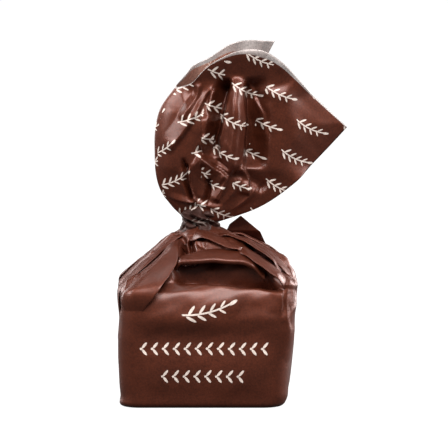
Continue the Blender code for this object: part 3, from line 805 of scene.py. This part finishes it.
def addPleat(plan, quarter, surface):
    turn = math.radians(quarter)
    tilt = math.radians(frontView["tilt"] if quarter == 0 else 0.0)
    rightward = np.array([math.cos(turn), math.sin(turn), 0.0])
    inward = np.array([-math.sin(turn) * math.cos(tilt), math.cos(turn) * math.cos(tilt),
                       -math.sin(tilt)])
    upward = np.cross(rightward, inward)
    along = np.linspace(0.0, 1.0, pleatShape["along"])
    root = catmullRom(plan["root"], along)
    edge = catmullRom(plan["edge"], along)
    across = np.linspace(0.0, 1.0, pleatShape["across"])[:, None, None]
    places = wander(root[None] * (1.0 - across) + edge[None] * across, pleatShape["wander"])
    hits, outs = castOnto(surface, places, rightward, upward, inward)
    fade = plan.get("fade", pleatShape["fade"])
    fadeEnd = plan.get("fadeEnd", pleatShape["fadeEnd"])
    ends = smoothStep(0.0, fade, along) * smoothStep(1.0, 1.0 - fadeEnd, along)
    share = across[..., 0]
    rise = share * plan["lift"] + plan["bulge"] * 4.0 * share * (1.0 - share)
    height = (rise + pleatShape["tuck"]) * ends[None, :] - pleatShape["tuck"]
    crumple = facets(hits, 41 + quarter, 16, 0.03, 0.06)
    height += pleatShape["crumple"] * crumple * share * ends[None, :]
    grid = hits + outs * height[..., None]
    # the fold: a half round, then the film runs back under
    ahead = hits[-1] - hits[-4]
    ahead /= np.linalg.norm(ahead, axis=-1, keepdims=True)
    out = outs[-1]
    radius = plan.get("hem", pleatShape["hemRadius"])
    hem = []
    for angle in np.linspace(math.pi / 2.0, -math.pi / 2.0, 7)[1:]:
        hem.append(grid[-1] + ahead * radius * math.cos(angle) + out * radius * (math.sin(angle) - 1.0))
    for back in (0.35, 0.7, 1.0):
        hem.append(hem[5] - ahead * pleatShape["hemDepth"] * back - out * pleatShape["hemDrop"] * back)
    grid = np.concatenate([grid, np.array(hem)])
    filmPlace = np.stack([grid @ rightward + quarter, grid @ upward], axis=-1)
    spread = np.cross(grid[0, -1] - grid[0, 0], grid[pleatShape["across"] - 1, 0] - grid[0, 0])
    name = plan["name"] if quarter == 0 else "%s_%d" % (plan["name"], quarter)
    piece = meshFromGrid(name, grid, False, [filmPlace], flip=spread @ outs[5, 5] < 0)
    piece.data.materials.append(bodyFilm)
    thicken(piece, pleatShape["thickness"])
    return piece


smoothBlock = smoothSurface()
pleats = [addPleat(plan, 0, smoothBlock) for plan in frontPleats]
for quarter in (90, 180, 270):
    pleats += [addPleat(plan, quarter, smoothBlock) for plan in sidePleats]
print("pleats made:", len(pleats))

# The fan
fan = {"rootRadius": 2.2, "start": 29.6, "across": 300, "up": 150, "thickness": 0.06,
       "turnFrom": -20.0, "turnBy": -320.0, "wander": 0.05,
       "gathers": 9.0, "gatherLift": 0.22, "backWaves": 6.0, "backLift": 0.5, "calm": 0.08, "busy": 0.35,
       # how wide the clear margin is at each path, in mm
       "clear": (0.15, 0.30, 0.75, 1.20, 0.60, 0.12, 0.10, 0.40, 0.80, 0.85, 1.40, 2.10, 2.10)}

# from the free corner over the front, round the left fold and along the back:
# three places on the way and one on the rim, each across, up and depth
fanPaths = [
    [(9.2, 32.1, -1.2), (14.9, 35.9, -1.6), (20.4, 41.1, -1.2), (24.4, 45.4, -0.8)],
    [(7.2, 34.2, -1.9), (11.0, 39.7, -2.2), (14.7, 46.1, -1.9), (17.6, 51.8, -1.3)],
    [(5.1, 35.9, -2.4), (7.8, 42.3, -2.9), (10.7, 49.3, -2.6), (13.4, 56.1, -1.8)],
    [(3.4, 36.6, -2.6), (5.4, 43.7, -3.4), (7.8, 51.4, -3.0), (9.6, 58.4, -2.1)],
    [(1.3, 37.0, -2.6), (2.7, 44.0, -3.4), (4.4, 51.2, -3.0), (5.6, 58.2, -2.1)],
    [(-1.0, 36.5, -2.4), (-0.7, 43.2, -3.1), (0.3, 49.7, -2.8), (1.3, 56.0, -1.9)],
    [(-3.5, 35.6, -1.9), (-4.4, 41.8, -2.4), (-3.6, 47.6, -2.1), (-1.9, 53.2, -1.4)],
    [(-7.4, 34.8, -0.3), (-8.3, 42.0, 0.0), (-7.6, 48.1, 0.1), (-4.7, 52.5, 0.2)],
    [(-4.8, 36.1, 1.1), (-5.6, 42.3, 1.7), (-4.6, 49.0, 1.8), (-2.4, 55.4, 1.7)],
    [(-2.4, 36.8, 1.8), (-2.0, 43.7, 2.4), (-1.2, 50.8, 2.5), (0.4, 57.1, 2.2)],
    [(0.0, 37.3, 2.0), (1.3, 44.5, 2.7), (2.7, 52.1, 2.8), (4.2, 59.5, 2.5)],
    [(1.3, 37.6, 2.0), (3.7, 45.4, 2.7), (5.9, 53.1, 2.8), (7.9, 60.3, 2.5)],
    [(2.7, 38.3, 1.8), (5.7, 46.1, 2.5), (9.1, 54.5, 2.7), (11.9, 60.1, 2.4)],
]

fanFolds = [
    # the deep valley, the lit column beside it and the shallow valley on its right
    ("ridge", (0.7, 2.0), -3.4, [(4.2, 54.0), (3.1, 49.0), (2.5, 46.0), (2.0, 43.4), (2.2, 40.0)]),
    ("soft", (1.4, 1.2), 1.6, [(5.4, 54.6), (5.4, 46.2), (4.4, 37.0)]),
    ("ridge", (3.4, 0.8), -2.5, [(7.3, 54.2), (7.9, 46.5), (7.3, 38.4)]),
    ("ridge", (0.5, 1.6), 0.55, [(7.6, 53.4), (8.8, 50.6), (10.0, 47.6), (10.6, 43.0)]),
    # the overlapping edge, and the facets on both sides of it
    ("ridge", (2.6, 0.15), 0.75, [(-0.4, 48.0), (-0.3, 44.6), (-0.3, 40.4), (-0.8, 38.6)]),
    ("ridge", (0.5, 2.4), 0.7, [(1.9, 53.4), (0.2, 51.0), (-1.0, 48.4), (-3.4, 44.6), (-6.0, 41.0)]),
    ("ridge", (1.2, 0.5), 0.5, [(-3.6, 46.4), (-1.8, 49.6), (-0.6, 53.2)]),
    ("ridge", (1.0, 0.4), 0.6, [(1.4, 52.4), (0.9, 49.2), (1.3, 45.6)]),
    ("ridge", (0.4, 1.0), 0.5, [(-0.2, 44.4), (1.4, 43.2), (1.9, 41.6)]),
    # the folded triangle low on the front, and the slit beside it
    ("ridge", (0.22, 3.0), 1.2, [(-1.0, 41.2), (1.6, 38.9), (4.1, 37.2)]),
    ("ridge", (1.3, 0.4), -0.7, [(-1.6, 41.8), (1.0, 40.6), (4.6, 38.2)]),
    ("ridge", (0.25, 1.6), 0.9, [(4.1, 37.7), (3.4, 35.4), (2.2, 32.8)]),
    ("ridge", (0.3, 1.8), 0.8, [(6.0, 39.2), (7.6, 36.8), (7.4, 34.0)]),
    ("ridge", (0.3, 1.8), 0.8, [(-2.6, 39.0), (-2.5, 36.2), (-1.2, 32.8)]),
    ("ridge", (0.8, 0.3), -0.8, [(-3.6, 40.6), (-3.2, 36.6), (-1.8, 33.0)]),
    ("ridge", (0.6, 1.2), 0.4, [(0.4, 39.4), (0.6, 36.6), (0.0, 33.2)]),
    ("soft", (1.3, 0.8), -0.8, [(4.6, 38.2), (7.4, 37.0), (10.6, 34.8)]),
    # the front layer leans out at its rim and draws in below it
    ("soft", (1.8, 2.0), 0.9, [(-4.0, 53.6), (1.5, 56.8), (5.5, 58.2), (10.5, 58.0), (15.5, 54.4)]),
    ("soft", (2.2, 2.8), -1.2, [(-3.5, 49.8), (0.5, 51.8), (5.5, 53.0), (11.5, 51.6)]),
    # the slits above the neck, and the edge that wraps round its top
    ("ridge", (0.9, 0.2), 0.55, [(-6.4, 33.9), (-1.5, 32.8), (3.6, 31.4)]),
    ("ridge", (0.35, 0.7), -1.3, [(-2.9, 39.6), (-2.8, 36.4), (-1.7, 32.8)]),
    ("ridge", (0.3, 0.8), -0.9, [(0.9, 37.2), (1.0, 35.2), (0.4, 32.6)]),
    # the wing bends back towards its free corner, in slow waves
    ("soft", (5.0, 6.0), -3.1, [(21.5, 56.0), (26.0, 46.0), (20.5, 34.0)]),
    ("soft", (2.5, 4.5), 0.7, [(12.6, 53.0), (14.4, 44.0), (10.6, 37.0)]),
    ("soft", (2.0, 3.0), -1.2, [(9.6, 52.0), (9.2, 45.0), (8.6, 38.0)]),
    ("soft", (2.2, 1.4), 0.45, [(-5.4, 50.0), (-6.8, 44.0), (-5.8, 37.0)]),
]


def fanGrid():
    paths = []
    last = len(fanPaths) - 1
    for index, path in enumerate(fanPaths):
        turn = math.radians(fan["turnFrom"] + fan["turnBy"] * index / last)
        root = np.array([block["neckX"] + fan["rootRadius"] * math.cos(turn),
                         fan["rootRadius"] * math.sin(turn), fan["start"]])
        points = [root] + [fromFrontView(*point) for point in path]
        paths.append(catmullRom(points, np.linspace(0.0, 1.0, fan["up"])))
    return np.swapaxes(catmullRom(np.array(paths), np.linspace(0.0, 1.0, fan["across"])), 0, 1)


# The print is cut where film is folded away. Each front boundary is a line in the front view,
# from right to left, and each map beyond it has its own turn and shift.
printBoundaries = [
    [(12.6, 60.0), (10.6, 52.0), (8.2, 42.0), (5.2, 36.5), (0.8, 31.5)],
    [(3.6, 60.0), (3.6, 54.4), (2.7, 47.9), (1.7, 44.5), (1.4, 39.0), (0.2, 31.5)],
    [(0.3, 60.0), (0.0, 47.5), (-0.25, 46.0), (-0.25, 38.5), (-1.2, 31.5)],
]
printMaps = [(27.0, 1.0, 1.4), (24.0, 3.4, 2.6), (8.0, 0.4, 1.0), (-24.0, 1.2, 3.3), (-14.0, 3.0, 0.9)]
foldShare = 0.56  # the share of the way round where the back layer begins
mapMiddle = 0.3  # the share of the way round where the maps are lined up with the front view


def filmPlacesOnFan(grid):
    # unrolled mm across the sheet and up, in one map for each turn of the print
    step = np.linalg.norm(np.diff(grid[..., :2], axis=1), axis=-1)
    across = -np.concatenate([np.zeros((grid.shape[0], 1)), np.cumsum(step, axis=1)], axis=1)
    middle = int(mapMiddle * grid.shape[1])
    across += (grid[:, middle, 0] - across[:, middle])[:, None]
    x, z = across, grid[..., 2]
    maps = []
    for turn, shiftX, shiftY in printMaps:
        angle = math.radians(turn)
        maps.append(np.stack([x * math.cos(angle) - z * math.sin(angle) + shiftX,
                              x * math.sin(angle) + z * math.cos(angle) + shiftY], axis=-1))
    view = inFrontView(grid)[:-1, :-1]
    share = np.linspace(0.0, 1.0, grid.shape[1])[None, :-1]
    sector = np.zeros(view.shape[:2], dtype=int)
    for line in printBoundaries:
        line = np.array(line[::-1])
        sector += view[..., 0] < np.interp(view[..., 1], line[:, 1], line[:, 0])
    sector = np.where(share > foldShare, len(printMaps) - 1, sector)
    return maps, sector


def foldedFan():
    grid = fanGrid()
    filmPlaces = filmPlacesOnFan(grid)
    normals = -gridNormals(grid, False)
    across = np.linspace(0.0, 1.0, fan["across"])[None, :]
    up = np.linspace(0.0, 1.0, fan["up"])[:, None]
    front = smoothStep(0.62, 0.5, across) * smoothStep(0.04, 0.14, up)
    lift = np.zeros(grid.shape[:2])
    view = wander(inFrontView(grid), fan["wander"])
    for fold in fanFolds:
        lift += foldHeight(view, *fold) * front
    # gathers just above the neck, and waves in the back layer
    phase = math.pi * (fan["gathers"] * across + 0.8 * np.sin(7.0 * across))
    gathers = 1.0 - 2.0 * np.abs(np.sin(phase)) ** 0.8
    low = smoothStep(0.1, 0.2, up) * smoothStep(0.42, 0.2, up)
    lift += fan["gatherLift"] * gathers * low * smoothStep(0.0, 0.06, across)
    back = smoothStep(0.58, 0.7, across) * smoothStep(1.0, 0.96, across)
    waves = np.sin(2.0 * math.pi * fan["backWaves"] * across)
    lift += fan["backLift"] * waves * back * smoothStep(0.2, 0.5, up)
    # crisp facets in the middle of the front, few on the wing and on the left fold
    busy = smoothStep(0.12, 0.30, across) * smoothStep(0.52, 0.40, across) * smoothStep(0.95, 0.7, up)
    crumple = facets(grid, 21, 110, 0.050, 0.10, (1.0, 1.0, 0.55))
    lift += crumple * (fan["calm"] + fan["busy"] * busy) * smoothStep(0.05, 0.2, up)
    # how far below the sheet's top edge each point lies, against the width of the clear margin
    toRim = np.linalg.norm(np.diff(grid, axis=0), axis=-1)
    toRim = np.concatenate([np.cumsum(toRim[::-1], axis=0)[::-1], np.zeros((1, fan["across"]))])
    wide = np.interp(across, np.linspace(0.0, 1.0, len(fan["clear"])), fan["clear"])
    margin = np.clip(1.0 - 0.5 * toRim / wide, 0.0, 1.0)
    return grid + normals * lift[..., None], filmPlaces, margin


def addFanFilm():
    grid, (maps, sector), margin = foldedFan()
    piece = meshFromGrid("fan_film", grid, False, maps, sector, flip=True)
    addAttribute(piece, "margin", margin)
    piece.data.materials.append(fanFilm)
    piece.data.materials.append(insideFilm)
    thicken(piece, fan["thickness"], insideSlot=1)
    return piece


fanPiece = addFanFilm()
print("fan made")

# The neck, wound tight
neck = {"low": 27.6, "high": 33.0, "strands": 6, "depth": 0.95, "round": 220, "rows": 110,
        "waist": 30.4, "waistRadius": 3.15, "flare": 0.16, "flareBelow": 0.8, "flareAbove": 0.35,
        "pitch": 12.0, "wrinkle": 0.06, "crumple": 0.5, "thin": 0.45, "fadeLow": 0.8, "fadeHigh": 1.8,
        "mapRound": 22.0, "mapUp": 1.3}


def addNeck():
    share = np.arange(neck["round"]) / neck["round"]
    height = np.linspace(neck["low"], neck["high"], neck["rows"])[:, None]
    away = height - neck["waist"]
    flare = np.where(away < 0, neck["flareBelow"], neck["flareAbove"])
    radius = neck["waistRadius"] + neck["flare"] * away ** 2 * flare
    turn = 2.0 * math.pi * share[None, :] + math.pi / 2.0
    phase = neck["strands"] * (share[None, :] + away / neck["pitch"]) + 0.35 * np.sin(away * 2.1)
    strand = 1.0 - np.abs(np.sin(math.pi * phase)) ** 0.7
    wrinkle = np.sin(2.0 * math.pi * (3.0 * share[None, :] + away * 0.9))
    radius = radius - neck["depth"] * strand + neck["wrinkle"] * wrinkle
    fade = smoothStep(neck["low"], neck["low"] + neck["fadeLow"], height)
    fade = fade * smoothStep(neck["high"], neck["high"] - neck["fadeHigh"], height)
    radius = radius * (neck["thin"] + (1.0 - neck["thin"]) * fade)
    grid = np.stack([block["neckX"] + radius * np.cos(turn), radius * np.sin(turn),
                     np.broadcast_to(height, radius.shape)], axis=-1)
    crumple = facets(grid, 31, 80, 0.12, 0.12, (1.0, 1.0, 1.6))[..., None]
    grid = grid + gridNormals(grid, True) * neck["crumple"] * crumple
    wholeTurn = np.arange(neck["round"] + 1)[None, :] / neck["round"]
    places = np.broadcast_arrays(wholeTurn * neck["mapRound"], height * neck["mapUp"])
    filmPlace = np.stack(places, axis=-1)
    piece = meshFromGrid("neck_film", grid, True, [filmPlace], closeLow=True, closeHigh=True)
    piece.data.materials.append(shadedNeckFilm)
    return piece


neckFilm = addNeck()
print("neck made")

# The loose corner of film behind the right shoulder
flap = {"lower": [(2.9, 26.4), (5.4, 25.0), (8.2, 23.8), (10.9, 24.2)],
        "upper": [(4.3, 29.3), (6.2, 30.75), (9.5, 28.0), (10.5, 25.8)],
        # the upper corners' shares of the way along, and the depth, which grows below the fold
        "corners": (0.0, 0.3, 0.8, 1.0), "depth": 1.8, "lean": 0.95, "fold": 28.2,
        "along": 60, "up": 40, "thickness": 0.06, "mapShift": (0.7, 1.1)}


def addFlap():
    along = np.linspace(0, 1, flap["along"])
    lower = catmullRom(flap["lower"], along)
    corners = np.array(flap["upper"])
    shares = np.interp(along, flap["corners"], np.arange(4) / 3.0) * 3.0
    upper = np.stack([np.interp(shares, np.arange(4), corners[:, k]) for k in range(2)], axis=-1)
    rise = np.linspace(0.0, 1.0, flap["up"])[:, None, None]
    view = lower[None] * (1.0 - rise) + upper[None] * rise
    depth = flap["depth"] + flap["lean"] * np.maximum(flap["fold"] - view[..., 1], 0.0)
    grid = np.array([[fromFrontView(a, u, d) for (a, u), d in zip(rowView, rowDepth)]
                     for rowView, rowDepth in zip(view, depth)])
    piece = meshFromGrid("flap_film", grid, False, [view + np.array(flap["mapShift"])])
    piece.data.materials.append(bodyFilm)
    thicken(piece, flap["thickness"])
    return piece


flapFilm = addFlap()
print("flap made")

for piece in [blockFilm, fanPiece, neckFilm, flapFilm] + pleats:
    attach(piece, "root")
    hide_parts("wrapped_truffle")

# Floor and light
studio = {"floor": (0.06, 0.06, 0.06, 1.0), "floorHalf": 1.6, "floorDrop": -0.0001, "floorGlow": 1.0,
          "floorRoughness": 0.9, "floorSpecular": 0.1, "world": 0.03, "backdrop": 1.0,
          "aim": (0.0, 0.0, 0.025)}

lights = {
    "keyLeft": {"place": (-0.50, -0.22, 0.36), "size": (0.24, 0.36), "power": 3.6},
    "frontSoft": {"place": (0.08, -0.42, 0.50), "size": (0.52, 0.26), "power": 6.4},
    "fillRight": {"place": (0.56, -0.08, 0.20), "size": (0.18, 0.36), "power": 2.2},
    "rimLeft": {"place": (-0.42, 0.34, 0.22), "size": (0.30, 0.36), "power": 2.5},
    "rimRight": {"place": (0.42, 0.30, 0.20), "size": (0.26, 0.36), "power": 4.4},
    "topSoft": {"place": (0.0, 0.10, 0.60), "size": (0.45, 0.25), "power": 1.0},
}


def addFloor():
    half, drop = studio["floorHalf"], studio["floorDrop"]
    points = [(-half, -half, drop), (half, -half, drop), (half, half, drop), (-half, half, drop)]
    mesh = bpy.data.meshes.new("floor")
    mesh.from_pydata(points, [], [(0, 1, 2, 3)])
    floor = bpy.data.objects.new("floor", mesh)
    bpy.context.scene.collection.objects.link(floor)
    material, make, shader = startMaterial("paleFloor")
    shader.inputs["Base Color"].default_value = studio["floor"]
    shader.inputs["Roughness"].default_value = studio["floorRoughness"]
    shader.inputs["Specular IOR Level"].default_value = studio["floorSpecular"]
    seen = make.tree.nodes.new("ShaderNodeLightPath").outputs["Is Camera Ray"]
    glow = make.mix(seen, (0.0, 0.0, 0.0, 1.0), (1.0, 1.0, 1.0, 1.0))
    make.put(shader.inputs["Emission Color"], glow)
    shader.inputs["Emission Strength"].default_value = studio["floorGlow"]
    floor.data.materials.append(material)


def addLight(name, plan):
    data = bpy.data.lights.new(name, "AREA")
    data.shape = "RECTANGLE"
    data.size, data.size_y = plan["size"]
    data.energy = plan["power"]
    light = bpy.data.objects.new(name, data)
    light.location = plan["place"]
    towards = Vector(studio["aim"]) - Vector(plan["place"])
    light.rotation_euler = towards.to_track_quat("-Z", "Y").to_euler()
    bpy.context.scene.collection.objects.link(light)


def addWorld():
    world = bpy.data.worlds.new("studio")
    bpy.context.scene.world = world
    world.use_nodes = True
    tree = world.node_tree
    make = NodeMaker(tree)
    background = tree.nodes["Background"]
    background.inputs["Color"].default_value = (1.0, 1.0, 1.0, 1.0)
    seen = tree.nodes.new("ShaderNodeLightPath").outputs["Is Camera Ray"]
    strength = make.math("MULTIPLY_ADD", seen, studio["backdrop"] - studio["world"], studio["world"])
    make.put(background.inputs["Strength"], strength)


addFloor()
addWorld()
for lightName, lightPlan in lights.items():
    addLight(lightName, lightPlan)
bpy.context.scene.view_settings.view_transform = "Standard"
print("studio set")
